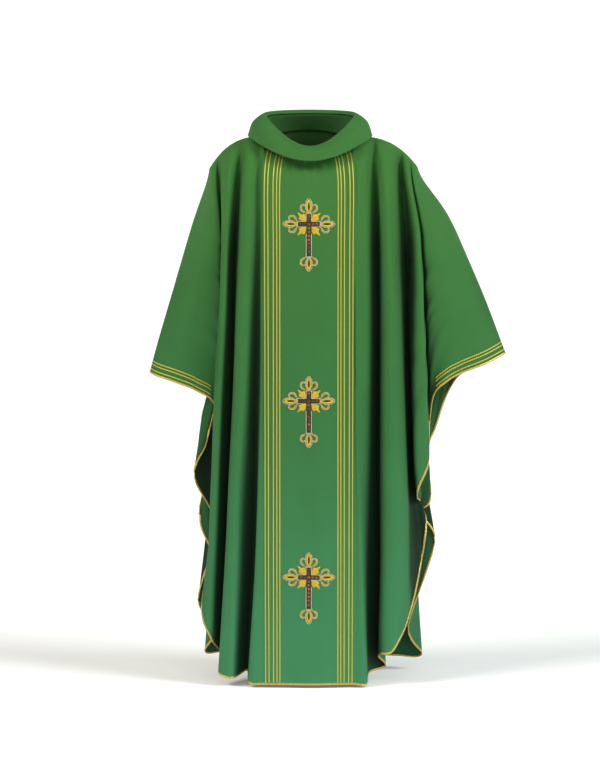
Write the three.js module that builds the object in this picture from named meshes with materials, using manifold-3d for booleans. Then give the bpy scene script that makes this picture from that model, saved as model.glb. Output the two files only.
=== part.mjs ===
// A chasuble: a wide sleeveless church vestment, shown as it hangs when worn.
// Millimetres, +Z up. -Y is the front. The origin is in the middle of the neck, at shoulder height.
import * as THREE from "three";
import { mergeVertices } from "three/addons/utils/BufferGeometryUtils.js";
import Module from "manifold-3d";

const wasm = await Module();
wasm.setup();

// Driving dimensions.
const CLOTH = 2; // thickness of the doubled-edge crepe cloth with its finish
const GAP = 0.4; // clearance between pieces that are sewn together
const TRIM = 0.5; // clearance where a piece is trimmed beside a fold
const SEAM = 2; // front and back cloths meet this far from the line between them, on either side
const PANEL_HALF = 108; // half the flat width of the centre panel, seam to seam
const SHOULDER_LEFT = 232; // neck centre to the end of the shoulder on each side
const SHOULDER_RIGHT = 256;
const SHOULDER_TOP = 11; // height of the shoulder line beside the neck
const SHOULDER_DROP = 71; // how far it falls to the end of the shoulder
const NECK_HALF = 95; // half width of the neckline
const NECK_FRONT = 86; // neckline to the origin, at the front and at the back
const NECK_BACK = 76;
const NECK_DIP = 49; // fall of the neckline at the front, and its rise at the back
const NECK_RISE = 9;
const ON_CLOTH = CLOTH / 2 + 0.8; // underside of what is sewn on the cloth, from the middle of the cloth
const PIPING_DEEP = 5; // gold edging on the whole outline
const PIPING_THICK = 1.4;
const FINEST = 0.01; // detail dropped from a trimmed piece
const BRAID_WIDE = 3.3; // narrow gold braid
const BRAID_THICK = 1;
const PANEL_BRAIDS = [69, 76, 84, 95, 103]; // distance of each braid from the centre line
const SLEEVE_BRAIDS = [11, 22.5, 30]; // distance of each braid from the sleeve edge
const SLEEVE_COLUMNS = 7; // columns of the cloth that a sleeve braid crosses
const CURVED_ROWS = 4; // rows of the cloth over the curved chest and back
const CROSS_HEIGHTS = [-182, -605, -1028]; // height of the crossing of each embroidered cross
const CHEST = -260; // levels at which the folds are set
const WAIST = -600;
const THIGH = -950;

const group = new THREE.Group();
const GREEN = { color: 0x3f8a4e, roughness: 0.85, metalness: 0 };
const GOLD = { color: 0xc9a22e, roughness: 0.45, metalness: 0.6 };
const SILVER = { color: 0xb8a9a0, roughness: 0.45, metalness: 0.5 };
const RED = { color: 0xb3261e, roughness: 0.2, metalness: 0 };

function add(name, geometry, finish) {
  const mesh = new THREE.Mesh(geometry, new THREE.MeshStandardMaterial(finish));
  mesh.name = name;
  group.add(mesh);
}

// Fold lines of the side cloths, from the centre panel outwards to the fold of the sleeve. Each has the
// place where it leaves the shoulder line, then its points at the chest, waist, thigh and edge. Fold lines
// that end at the side are shorter, so their points lie higher.
const FRONT_LEFT = [
  ["turn of the panel", -106,
    [-111, -133, CHEST], [-114, -131, WAIST], [-125, -136, THIGH], [-142, -146, -1284]],
  ["valley beside the panel", -116,
    [-119, -120, CHEST], [-124, -96, WAIST], [-130, -84, THIGH], [-148, -84, -1264]],
  ["first ridge", -132,
    [-146, -136, CHEST], [-160, -128, WAIST], [-174, -132, THIGH], [-182, -138, -1274]],
  ["side of the first ridge", -144,
    [-166, -124, CHEST], [-181, -112, WAIST], [-196, -112, THIGH], [-214, -114, -1264]],
  ["dark valley", -156,
    [-174, -76, CHEST], [-181, -50, WAIST], [-190, -42, THIGH], [-200, -50, -1238]],
  ["second ridge", -184,
    [-196, -126, CHEST], [-208, -108, WAIST], [-222, -100, THIGH], [-234, -96, -1186]],
  ["side of the second ridge", -204,
    [-207, -106, CHEST], [-225, -84, WAIST], [-239, -72, THIGH], [-256, -66, -1112]],
  ["bottom of the side fold", -211,
    [-203, -66, -220], [-209, -40, -450], [-217, -18, -720], [-226, -8, -925]],
  ["tip of the side fold", -216,
    [-207, -62, -225], [-218, -52, -500], [-256, -38, -668], [-273, -26, -808]],
  ["face of the side fold", -219,
    [-209, -72, -215], [-215, -64, -400], [-225, -55, -580], [-244, -43, -720]],
  ["inner edge of the sleeve", -223,
    [-211, -84, -205], [-212, -74, -350], [-216, -64, -500], [-226, -52, -628]],
  ["sleeve near the body", -228,
    [-228, -82, -205], [-244, -73, -350], [-257, -67, -480], [-269, -62, -592]],
  ["sleeve middle", -231,
    [-250, -60, -205], [-278, -60, -350], [-300, -56, -480], [-316, -54, -574]],
  ["sleeve near its fold", -234,
    [-270, -22, -205], [-309, -26, -350], [-344, -25, -480], [-364, -24, -562]],
  ["fold of the sleeve", -236,
    [-277, -SEAM, -200], [-321, -SEAM, -350], [-359, -SEAM, -480], [-379, -SEAM, -556]],
];
const FRONT_RIGHT = [
  ["turn of the panel", 106,
    [111, -133, CHEST], [114, -131, WAIST], [125, -136, THIGH], [137, -146, -1288]],
  ["start of the recess", 128,
    [140, -122, CHEST], [142, -104, WAIST], [142, -90, THIGH], [143, -84, -1270]],
  ["bottom of the recess", 152,
    [166, -74, CHEST], [168, -48, WAIST], [171, -40, THIGH], [182, -44, -1262]],
  ["edge of the first ridge", 166,
    [174, -116, CHEST], [173, -106, WAIST], [171, -108, THIGH], [168, -114, -1221]],
  ["first ridge", 180,
    [190, -130, CHEST], [198, -122, WAIST], [206, -126, THIGH], [204, -132, -1206]],
  ["side of the first ridge", 200,
    [208, -110, CHEST], [224, -92, WAIST], [241, -86, THIGH], [247, -80, -1108]],
  ["dark valley", 210,
    [226, -50, -240], [233, -26, -520], [241, -30, -840], [281, -44, -930]],
  ["back of the valley", 220,
    [237, -44, -230], [240, -18, -480], [254, -10, -700], [269, -14, -872]],
  ["edge of the second ridge", 228,
    [250, -96, -235], [248, -88, -460], [248, -88, -660], [258, -90, -836]],
  ["second ridge", 236,
    [262, -104, -230], [272, -96, -440], [279, -90, -610], [284, -82, -768]],
  ["crease beside the sleeve", 240,
    [266, -80, -215], [274, -62, -400], [280, -54, -560], [287, -46, -690]],
  ["inner edge of the sleeve", 244,
    [272, -92, -205], [281, -78, -350], [288, -66, -490], [297, -55, -606]],
  ["sleeve near the body", 249,
    [288, -88, -200], [306, -78, -330], [318, -68, -450], [326, -62, -572]],
  ["sleeve middle", 253,
    [306, -72, -190], [332, -68, -310], [350, -62, -430], [361, -58, -552]],
  ["sleeve near its fold", 256,
    [324, -40, -185], [368, -40, -290], [402, -38, -410], [424, -36, -530]],
  ["fold of the sleeve", 258,
    [332, -SEAM, -180], [383, -SEAM, -292], [424, -SEAM, -390], [469, -SEAM, -510]],
];
const BACK_LEFT = [
  ["turn of the panel", -106,
    [-112, 108, CHEST], [-116, 112, WAIST], [-124, 124, THIGH], [-136, 138, -1256]],
  ["valley beside the panel", -120,
    [-132, 88, CHEST], [-138, 76, WAIST], [-144, 70, THIGH], [-150, 68, -1250]],
  ["first ridge", -140,
    [-164, 106, CHEST], [-176, 104, WAIST], [-190, 108, THIGH], [-206, 112, -1254]],
  ["side of the first ridge", -170,
    [-190, 86, CHEST], [-206, 80, WAIST], [-228, 82, THIGH], [-250, 86, -1250]],
  ["dark valley", -196,
    [-200, 58, CHEST], [-212, 48, WAIST], [-222, 44, THIGH], [-226, 40, -1190]],
  ["second ridge", -206,
    [-206, 54, -240], [-216, 42, -520], [-234, 36, -840], [-266, 34, -1116]],
  ["bottom of the side fold", -212,
    [-205, 50, -230], [-212, 32, -500], [-222, 20, -780], [-236, 16, -1000]],
  ["tip of the side fold", -217,
    [-208, 54, -220], [-216, 42, -450], [-240, 28, -700], [-262, 20, -905]],
  ["crease beside the sleeve", -220,
    [-206, 58, -210], [-211, 52, -390], [-214, 45, -560], [-217, 37, -730]],
  ["inner edge of the sleeve", -224,
    [-211, 70, -205], [-214, 67, -350], [-221, 63, -500], [-236, 58, -618]],
  ["sleeve near the body", -228,
    [-228, 70, -205], [-244, 68, -350], [-257, 64, -480], [-269, 60, -586]],
  ["sleeve middle", -231,
    [-250, 54, -205], [-278, 56, -350], [-300, 54, -480], [-316, 52, -570]],
  ["sleeve near its fold", -234,
    [-270, 22, -205], [-309, 26, -350], [-344, 25, -480], [-364, 24, -561]],
  ["fold of the sleeve", -236,
    [-277, SEAM, -200], [-321, SEAM, -350], [-359, SEAM, -480], [-379, SEAM, -556]],
];
const BACK_RIGHT = [
  ["turn of the panel", 106,
    [112, 108, CHEST], [116, 112, WAIST], [124, 124, THIGH], [136, 138, -1258]],
  ["valley beside the panel", 118,
    [138, 88, CHEST], [144, 76, WAIST], [150, 70, THIGH], [156, 68, -1252]],
  ["first ridge", 150,
    [176, 106, CHEST], [190, 104, WAIST], [206, 106, THIGH], [216, 112, -1264]],
  ["side of the first ridge", 190,
    [212, 84, CHEST], [228, 80, WAIST], [250, 84, THIGH], [273, 86, -1256]],
  ["dark valley", 214,
    [226, 58, CHEST], [238, 48, WAIST], [244, 42, THIGH], [240, 38, -1180]],
  ["second ridge", 226,
    [234, 52, -240], [246, 40, -480], [266, 34, -740], [302, 30, -975]],
  ["bottom of the side fold", 234,
    [240, 46, -230], [248, 30, -470], [256, 18, -700], [264, 12, -900]],
  ["tip of the side fold", 240,
    [250, 52, -225], [262, 36, -450], [276, 22, -660], [291, 12, -868]],
  ["crease beside the sleeve", 244,
    [258, 58, -215], [268, 48, -400], [276, 40, -580], [284, 34, -760]],
  ["inner edge of the sleeve", 248,
    [272, 72, -210], [284, 64, -370], [296, 56, -540], [306, 50, -692]],
  ["sleeve near the body", 252,
    [290, 72, -200], [310, 70, -340], [326, 64, -480], [336, 60, -610]],
  ["sleeve middle", 254,
    [308, 62, -190], [334, 60, -315], [354, 57, -440], [368, 54, -566]],
  ["sleeve near its fold", 256,
    [324, 36, -185], [368, 36, -290], [402, 35, -410], [425, 34, -532]],
  ["fold of the sleeve", 258,
    [332, SEAM, -180], [383, SEAM, -292], [424, SEAM, -390], [469, SEAM, -510]],
];

// Height of the shoulder line at a distance from the neck: level beside the neck, steeper outwards.
function shoulderHeight(x) {
  const end = x < 0 ? SHOULDER_LEFT : SHOULDER_RIGHT;
  const along = (Math.abs(x) - NECK_HALF) / (end - NECK_HALF);
  return SHOULDER_TOP - SHOULDER_DROP * Math.max(along, 0) ** 3;
}

// One fold line as a smooth curve: over the shoulder first, then down through its four points. Near the
// sleeve the cloth falls steeply before it spreads.
function sideLine([, topX, chest, waist, thigh, edge], front) {
  const side = front ? -1 : 1;
  const top = [topX, side * SEAM, shoulderHeight(topX)];
  const nearSleeve = THREE.MathUtils.clamp((Math.abs(topX) - 120) / 100, 0, 1);
  const over = [
    THREE.MathUtils.lerp(topX, chest[0], 0.6 - 0.4 * nearSleeve),
    0.76 * chest[1],
    THREE.MathUtils.lerp(top[2], chest[2], 0.28),
  ];
  return curve([top, over, chest, waist, thigh, edge]);
}

// The neckline, by its angle round the neck from the front. It dips at the front.
function neckline(angle) {
  const along = Math.cos(angle);
  const height = SHOULDER_TOP + (along > 0 ? -NECK_DIP : NECK_RISE) * along * along;
  const reach = along > 0 ? NECK_FRONT : NECK_BACK;
  return new THREE.Vector3(NECK_HALF * Math.sin(angle), -reach * along, height);
}

// One line of the centre panel. It starts at the neckline, dipped at the front, and hangs nearly straight.
function panelLine(u, front) {
  const part = u / PANEL_HALF;
  const angle = Math.asin(part * 0.985);
  const top = neckline(front ? angle : Math.PI - angle).toArray();
  const bow = 8 * part * part;
  const over = [u, front ? -120 + 2 * bow : 100 - 2 * bow, -95 + 4 * bow];
  const levels = front
    ? [[-142 + bow, CHEST], [-138 + bow, WAIST], [-144 + bow, THIGH], [-157 + bow, -1286]]
    : [[116 - bow, CHEST], [120 - bow, WAIST], [132 - bow, THIGH], [148 - bow, -1256]];
  return curve([top, over, ...levels.map(([y, z]) => [u, y, z])]);
}

function curve(points) {
  return smooth(points.map((p) => new THREE.Vector3(...p)));
}

function smooth(points) {
  return new THREE.CatmullRomCurve3(points, false, "catmullrom", 0.5);
}

// The whole front or back cloth as a grid of points. The smooth curve across all fold lines at one level
// gives a row, with a column on each line and, outside the centre panel, one between neighbours. The last
// rows run parallel to the edge, and the piping lies on the last two.
const ROWS = [0, 0.4, 0.8, 1.2, 1.6, 2.1, 2.7, 3.4, 4.2].map((r) => r / 5);
const EDGE_ROWS = [36, PIPING_DEEP, 0];
const PANEL_LINES = [-1, -0.75, -0.5, -0.25, 0, 0.25, 0.5, 0.75, 1].map((f) => f * PANEL_HALF);

function clothGrid(lines, panelFrom, panelTo) {
  const columns = [];
  lines.forEach((_, i) => {
    const halved = i < panelFrom || (i >= panelTo && i + 1 < lines.length);
    columns.push(...(halved ? [i, i + 0.5] : [i]));
  });
  const across = (points) => {
    const row = smooth(points);
    return columns.map((c) => row.getPoint(c / (lines.length - 1)));
  };
  const grid = ROWS.map((v) => across(lines.map((line) => line.getPoint(v))));
  const edge = across(lines.map((line) => line.getPoint(1)));
  const above = across(lines.map((line) => line.getPoint(0.97)));
  const up = edge.map((p, c) => above[c].clone().sub(p).normalize());
  for (const inset of EDGE_ROWS)
    grid.push(edge.map((p, c) => p.clone().addScaledVector(up[c], inset)));
  return grid;
}

function clothLines(left, right, front) {
  const sides = (list) => list.map((fold) => sideLine(fold, front));
  const panel = PANEL_LINES.map((u) => panelLine(u, front));
  const lines = [...sides(left).reverse(), ...panel, ...sides(right)];
  return front ? lines : lines.reverse();
}

// Direction out of the cloth at each point of a grid: away from the wearer.
function outwards(grid) {
  const near = (list, i) => list[Math.min(Math.max(i, 0), list.length - 1)];
  return grid.map((row, r) =>
    row.map((_, c) => {
      const down = near(grid, r + 1)[c].clone().sub(near(grid, r - 1)[c]);
      const sideways = near(row, c + 1).clone().sub(near(row, c - 1));
      return down.cross(sideways).normalize();
    }),
  );
}

// A closed sheet of even thickness about a grid of points.
function sheet(grid, thick, normals = outwards(grid), lift = 0) {
  const rows = grid.length;
  const columns = grid[0].length;
  const positions = [];
  for (const offset of [lift + thick / 2, lift - thick / 2])
    grid.forEach((row, r) =>
      row.forEach((p, c) => positions.push(...p.clone().addScaledVector(normals[r][c], offset))),
    );
  const outer = (r, c) => r * columns + c;
  const inner = (r, c) => rows * columns + r * columns + c;
  const index = [];
  const quad = (a, b, c, d) => index.push(a, b, c, a, c, d);
  for (let r = 0; r + 1 < rows; r++)
    for (let c = 0; c + 1 < columns; c++) {
      quad(outer(r, c), outer(r + 1, c), outer(r + 1, c + 1), outer(r, c + 1));
      quad(inner(r, c), inner(r, c + 1), inner(r + 1, c + 1), inner(r + 1, c));
    }
  for (let c = 0; c + 1 < columns; c++) {
    quad(outer(0, c), outer(0, c + 1), inner(0, c + 1), inner(0, c));
    quad(outer(rows - 1, c + 1), outer(rows - 1, c), inner(rows - 1, c), inner(rows - 1, c + 1));
  }
  for (let r = 0; r + 1 < rows; r++) {
    quad(outer(r + 1, 0), outer(r, 0), inner(r, 0), inner(r + 1, 0));
    const c = columns - 1;
    quad(outer(r, c), outer(r + 1, c), inner(r + 1, c), inner(r, c));
  }
  const geometry = new THREE.BufferGeometry();
  geometry.setAttribute("position", new THREE.Float32BufferAttribute(positions, 3));
  return geometry.setIndex(index);
}

// The panel between two columns of a cloth, drawn in a little where it meets the next panel.
function panel(cloth, from, to) {
  const grid = cloth.grid.map((row) => {
    const part = row.slice(from, to + 1).map((p) => p.clone());
    const draw = (end, next) => end.add(next.clone().sub(end).setLength(2 * GAP));
    if (from > 0) draw(part[0], part[1]);
    if (to < row.length - 1) draw(part.at(-1), part.at(-2));
    return part;
  });
  return sheet(grid, CLOTH, cloth.normals.map((row) => row.slice(from, to + 1)));
}

// A closed geometry as a solid that can be cut.
function solid(geometry) {
  const merged = mergeVertices(geometry, 1e-3);
  const vertProperties = merged.getAttribute("position").array;
  const triVerts = new Uint32Array(merged.index.array);
  return new wasm.Manifold(new wasm.Mesh({ numProp: 3, vertProperties, triVerts }));
}

// Trims a piece where a neighbouring fold of the cloth presses into it, and keeps the main body.
function trimmed(piece, cloth) {
  const fold = solid(sheet(cloth.grid, CLOTH + TRIM, cloth.normals));
  const bodies = solid(piece).subtract(fold).decompose();
  const mesh = bodies.sort((a, b) => b.volume() - a.volume())[0].simplify(FINEST).getMesh();
  const geometry = new THREE.BufferGeometry();
  geometry.setAttribute("position", new THREE.BufferAttribute(mesh.vertProperties, 3));
  return geometry.setIndex(new THREE.BufferAttribute(mesh.triVerts, 1));
}

// Cloth panels and their piping.
const cloths = [
  { side: "front", left: FRONT_LEFT, right: FRONT_RIGHT, first: "left", last: "right" },
  { side: "back", left: BACK_LEFT, right: BACK_RIGHT, first: "right", last: "left" },
];
for (const cloth of cloths) {
  const front = cloth.side === "front";
  const lines = clothLines(cloth.left, cloth.right, front);
  const before = front ? cloth.left.length : cloth.right.length;
  cloth.grid = clothGrid(lines, before, before + PANEL_LINES.length - 1);
  cloth.normals = outwards(cloth.grid);
  cloth.panelStart = 2 * before;
  cloth.panelEnd = cloth.panelStart + PANEL_LINES.length - 1;
  const end = cloth.grid[0].length - 1;
  add(`${cloth.side}_${cloth.first}_panel`, panel(cloth, 0, cloth.panelStart), GREEN);
  add(`${cloth.side}_centre_panel`, panel(cloth, cloth.panelStart, cloth.panelEnd), GREEN);
  add(`${cloth.side}_${cloth.last}_panel`, panel(cloth, cloth.panelEnd, end), GREEN);
  const onEdge = [cloth.grid.slice(-2), PIPING_THICK, cloth.normals.slice(-2)];
  const piping = sheet(...onEdge, ON_CLOTH + PIPING_THICK / 2);
  add(`${cloth.side}_edge_piping`, trimmed(piping, cloth), GOLD);
}

// A point on a cloth at fractional column and row, with its outward direction. Each cell of the grid is
// two flat triangles, split from its upper left to its lower right.
function onCloth(cloth, column, row) {
  const blend = (table) => {
    const r = Math.min(Math.floor(row), table.length - 2);
    const c = Math.min(Math.floor(column), table[0].length - 2);
    const [x, y] = [column - c, row - r];
    const [a, b, d, e] = [table[r][c], table[r + 1][c], table[r + 1][c + 1], table[r][c + 1]];
    const middle = y >= x ? b : e;
    const parts = y >= x ? [1 - y, y - x, x] : [1 - x, x - y, y];
    const sum = a.clone().multiplyScalar(parts[0]);
    return sum.addScaledVector(middle, parts[1]).addScaledVector(d, parts[2]);
  };
  return { point: blend(cloth.grid), out: blend(cloth.normals).normalize() };
}

// A flat braid sewn on the cloth, between two lists of places along its two sides.
function braid(first, second) {
  const pairs = first.map((place, i) => [place, second[i]]);
  const grid = pairs.map((pair) => pair.map((place) => place.point));
  const normals = pairs.map((pair) => pair.map((place) => place.out));
  return sheet(grid, BRAID_THICK, normals, ON_CLOTH + BRAID_THICK / 2);
}

const columnWidth = (cloth) => (2 * PANEL_HALF) / (cloth.panelEnd - cloth.panelStart);
const middleColumn = (cloth) => (cloth.panelStart + cloth.panelEnd) / 2;

for (const cloth of cloths) {
  const last = cloth.grid.length - 1;
  for (const sign of [-1, 1])
    PANEL_BRAIDS.forEach((distance, i) => {
      const hand = (sign < 0) === (cloth.side === "front") ? "left" : "right";
      const u = sign * distance;
      const columnAt = (place) => middleColumn(cloth) + place / columnWidth(cloth);
      const edges = [u - BRAID_WIDE / 2, u + BRAID_WIDE / 2];
      const splits = edges.map((place) => columnAt(place) % 1);
      const between = (r) => (r < CURVED_ROWS ? splits.map((split) => r + split) : []);
      const rows = cloth.grid.flatMap((_, r) => [r, ...between(r)]);
      rows.splice(-2, 2, last - 1.03);
      const lineAt = (place) => rows.map((row) => onCloth(cloth, columnAt(place), Math.max(row, 0.3)));
      const geometry = braid(lineAt(edges[0]), lineAt(edges[1]));
      add(`${cloth.side}_${hand}_braid_${i + 1}`, geometry, GOLD);
    });
  const sleeve = [0.1, ...Array.from({ length: SLEEVE_COLUMNS }, (_, c) => c + 1), SLEEVE_COLUMNS + 0.4];
  const far = cloth.grid[0].length - 1;
  for (const hand of [cloth.first, cloth.last])
    SLEEVE_BRAIDS.forEach((inset, i) => {
      const columns = hand === cloth.first ? sleeve : sleeve.map((c) => far - c).reverse();
      const insetRow = (d) => last - 1 - (d - EDGE_ROWS[1]) / (EDGE_ROWS[0] - EDGE_ROWS[1]);
      const lineAt = (d) => columns.map((column) => onCloth(cloth, column, insetRow(d)));
      const geometry = braid(lineAt(inset - BRAID_WIDE / 2), lineAt(inset + BRAID_WIDE / 2));
      add(`${cloth.side}_${hand}_sleeve_braid_${i + 1}`, geometry, GOLD);
    });
}

// Collar: a band of cloth folded double, standing up from the neckline and rolling outwards.
const COLLAR_SHIFT = 3; // it sits a little to one side
const dipAt = (angle, power) => ((1 + Math.cos(angle)) / 2) ** power;

function ring(halfWide, front, back, height) {
  return (angle) => {
    const along = Math.cos(angle);
    const x = COLLAR_SHIFT + halfWide * Math.sin(angle);
    return new THREE.Vector3(x, -(along > 0 ? front : back) * along, height(angle));
  };
}
const outOf = (angle, amount, up = 0) =>
  new THREE.Vector3(Math.sin(angle) * amount, -Math.cos(angle) * amount, up);
const rim = ring(110, 84, 64, (a) => 64 - 69 * dipAt(a, 4.6));
const fallEdge = ring(147, 119, 100, (a) => 15 - 48 * dipAt(a, 5));
const standBase = (angle) => neckline(angle).add(outOf(angle, -2.5, 3.2));
const COLLAR_STEPS = 24;

// A closed ring of sheet: its first and last columns are the same points, so merging closes it.
function collarLayer(lines, thick) {
  const grid = [];
  for (const along of [0, 0.25, 0.5, 0.75, 1]) {
    const row = [];
    for (let i = 0; i <= COLLAR_STEPS; i++) {
      const angle = (2 * Math.PI * (i % COLLAR_STEPS)) / COLLAR_STEPS;
      row.push(curve(lines(angle)).getPoint(along));
    }
    grid.push(row);
  }
  return closedRing(grid, thick);
}

function closedRing(grid, thick) {
  const rows = grid.length;
  const normals = grid.map((row, r) =>
    row.map((_, i) => {
      const c = i % COLLAR_STEPS;
      const up = grid[Math.max(r - 1, 0)][c];
      const down = grid[Math.min(r + 1, rows - 1)][c];
      const before = row[(c + COLLAR_STEPS - 1) % COLLAR_STEPS];
      return down.clone().sub(up).cross(row[c + 1].clone().sub(before)).normalize();
    }),
  );
  const shell = sheet(grid, thick, normals);
  return ringSolid(shell, rows);
}

// Drops the two end walls of a ring's sheet and joins its ends.
function ringSolid(shell, rows) {
  const walls = 12 * (rows - 1);
  const index = Array.from(shell.index.array).slice(0, -walls);
  shell.setIndex(index);
  return mergeVertices(shell, 1e-3);
}

const point = (v) => [v.x, v.y, v.z];
add(
  "collar_outer_layer",
  collarLayer((a) => {
    const top = rim(a);
    const edge = fallEdge(a);
    const over = top.clone().lerp(edge, 0.5).add(outOf(a, 7, 7));
    const inside = top.clone().add(outOf(a, -7, -4));
    return [inside, top.add(outOf(a, 0, 2)), over, edge].map(point);
  }, 2.4),
  GREEN,
);
add(
  "collar_inner_layer",
  collarLayer((a) => {
    const top = rim(a).add(outOf(a, -8, -8));
    const base = standBase(a);
    return [point(top), point(top.clone().lerp(base, 0.5)), point(base)];
  }, 2),
  GREEN,
);
add(
  "collar_interlining",
  collarLayer((a) => {
    const top = rim(a).add(outOf(a, -5.2, -9));
    const base = standBase(a).add(outOf(a, 2.6));
    return [point(top), point(top.clone().lerp(base, 0.5)), point(base.lerp(top, 0.12))];
  }, 1.2),
  { color: 0xe9e6dc, roughness: 0.9, metalness: 0 },
);

// Embroidered crosses. Each is worked flat in x and height, then laid on the cloth of the centre panel.
const CROSS_TOP = 60; // reach of the arms from the crossing
const CROSS_SIDE = 62;
const CROSS_FOOT = 112;
const SHAFT_HALF = 7;
const LILY = 34; // length of the lily at the end of each arm
const STONE = 2.8; // half width of a stone
const STONE_PITCH = 9.3;
const STRING_HALF = 0.6; // the stones are strung on a gold thread
const THREAD = 1.2; // raised height of the embroidery
const CROSS_GAP = 1; // clearance under the embroidery, and between it and the stones

// Lays a flat outline on a centre panel as a plate of even thickness.
function layOnPanel(cloth, centreHeight, outline, thick, lift) {
  const shape = new THREE.Shape(outline.map(([x, y]) => new THREE.Vector2(x, y)));
  const plate = new THREE.ExtrudeGeometry(shape, { depth: thick, bevelEnabled: false });
  plate.deleteAttribute("normal");
  plate.deleteAttribute("uv");
  const positions = plate.getAttribute("position");
  for (let i = 0; i < positions.count; i++) {
    const column = middleColumn(cloth) + positions.getX(i) / columnWidth(cloth);
    const height = centreHeight + positions.getY(i);
    const place = onCloth(cloth, column, rowAt(cloth, column, height));
    place.point.addScaledVector(place.out, ON_CLOTH + lift + positions.getZ(i));
    positions.setXYZ(i, ...place.point);
  }
  return mergeVertices(plate, 1e-3);
}

function rowAt(cloth, column, height) {
  let row = 1;
  while (onCloth(cloth, column, row + 1).point.z > height) row++;
  const upper = onCloth(cloth, column, row).point.z;
  const lower = onCloth(cloth, column, row + 1).point.z;
  return row + (upper - height) / (upper - lower);
}

// Goes round the four arms of a cross, starting at the top, and turns each arm's outline into its place.
function aroundCross(armOutline) {
  const reaches = [CROSS_TOP, CROSS_SIDE, CROSS_FOOT, CROSS_SIDE];
  return reaches.flatMap((reach, k) => {
    const [cos, sin] = [[1, 0], [0, 1], [-1, 0], [0, -1]][k];
    return armOutline(reach).map(([x, y]) => [x * cos - y * sin, x * sin + y * cos]);
  });
}

// One arm from the leaf on its right to its left side: the leaf in the corner, the shaft, and a lily at the
// end with a pointed petal between two curled ones.
function armOutline(reach) {
  const base = reach - LILY;
  const steps = reach > CROSS_SIDE ? [0.25, 0.5, 0.75] : [];
  const shaft = (side) => steps.map((t) => [side * SHAFT_HALF, 12 + t * (base - 12)]);
  return [
    [21, 11], [23, 23], [11, 21], [SHAFT_HALF, 12], ...shaft(1), [SHAFT_HALF, base],
    [17, base + 10], [8, base + 12], [6, base + 22], [0, reach],
    [-6, base + 22], [-8, base + 12], [-17, base + 10], [-SHAFT_HALF, base], ...shaft(-1).reverse(),
    [-SHAFT_HALF, 12],
  ];
}

// The string of stones along one arm: diamonds joined by the thread they are strung on.
function stringOutline(reach) {
  const count = reach > CROSS_SIDE ? 7 : 2;
  const right = [[STRING_HALF, STONE - STRING_HALF]];
  for (let k = 1; k <= count; k++) {
    const y = k * STONE_PITCH;
    right.push([STRING_HALF, y - STONE], [STONE, y]);
    if (k < count) right.push([STRING_HALF, y + STONE]);
  }
  const end = [[0, count * STONE_PITCH + STONE]];
  return [...right, ...end, ...right.map(([x, y]) => [-x, y]).reverse()];
}

CROSS_HEIGHTS.forEach((height, i) => {
  for (const cloth of cloths) {
    const embroidery = layOnPanel(cloth, height, aroundCross(armOutline), THREAD, CROSS_GAP);
    const string = aroundCross(stringOutline);
    const stones = layOnPanel(cloth, height, string, STONE / 2, 2 * CROSS_GAP + THREAD);
    add(`${cloth.side}_cross_${i + 1}_embroidery`, embroidery, SILVER);
    add(`${cloth.side}_cross_${i + 1}_stones`, stones, RED);
  }
});

export default group;
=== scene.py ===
"""A green chasuble as it hangs when worn, in metres. +Z is up and the wearer faces -Y."""

import bpy
import numpy as np
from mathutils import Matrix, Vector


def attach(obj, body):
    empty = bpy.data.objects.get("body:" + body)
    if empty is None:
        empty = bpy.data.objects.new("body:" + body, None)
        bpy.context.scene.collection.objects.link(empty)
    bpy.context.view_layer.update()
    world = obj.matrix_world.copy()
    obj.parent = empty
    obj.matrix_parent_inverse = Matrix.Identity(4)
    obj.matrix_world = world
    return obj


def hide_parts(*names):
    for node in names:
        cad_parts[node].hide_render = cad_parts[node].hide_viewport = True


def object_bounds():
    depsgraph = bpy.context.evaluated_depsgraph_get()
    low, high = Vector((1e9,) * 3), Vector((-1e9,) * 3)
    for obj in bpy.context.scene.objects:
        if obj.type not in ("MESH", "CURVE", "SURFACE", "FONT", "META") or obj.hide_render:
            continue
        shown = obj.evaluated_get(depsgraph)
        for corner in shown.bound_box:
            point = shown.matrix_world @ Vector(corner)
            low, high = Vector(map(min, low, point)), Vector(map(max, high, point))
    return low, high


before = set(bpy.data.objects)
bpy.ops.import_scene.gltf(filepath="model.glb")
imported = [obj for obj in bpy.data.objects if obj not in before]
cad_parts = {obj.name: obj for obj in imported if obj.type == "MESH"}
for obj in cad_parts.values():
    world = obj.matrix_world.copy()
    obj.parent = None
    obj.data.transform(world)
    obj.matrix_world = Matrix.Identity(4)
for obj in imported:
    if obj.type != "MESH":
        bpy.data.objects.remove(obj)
cad_box = [[float(x) for x in corner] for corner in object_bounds()]

# ---------------------------------------------------------------------------------------------------------
# The two cloths, front and back. Each is one wide piece of matte green crepe, joined to the other along the
# shoulders and the folds of the sleeves, and it hangs from the shoulders in deep folds.
THICK = 0.0016
SHOULDER_LEFT, SHOULDER_RIGHT, SHOULDER_TOP, SHOULDER_DROP = 0.232, 0.256, 0.011, 0.071
NECK_HALF, NECK_FRONT, NECK_BACK, NECK_DIP, NECK_RISE = 0.095, 0.086, 0.076, 0.049, 0.009
PANEL_HALF = 0.108
PANEL_LINES = 9
FOLD_STEPS, PANEL_STEPS = 7, 5  # columns of the fine surface between two fold lines
SPAN_ROWS = [24, 30, 44, 44, 44]  # its rows from shoulder to chest, waist, thigh and edge

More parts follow.
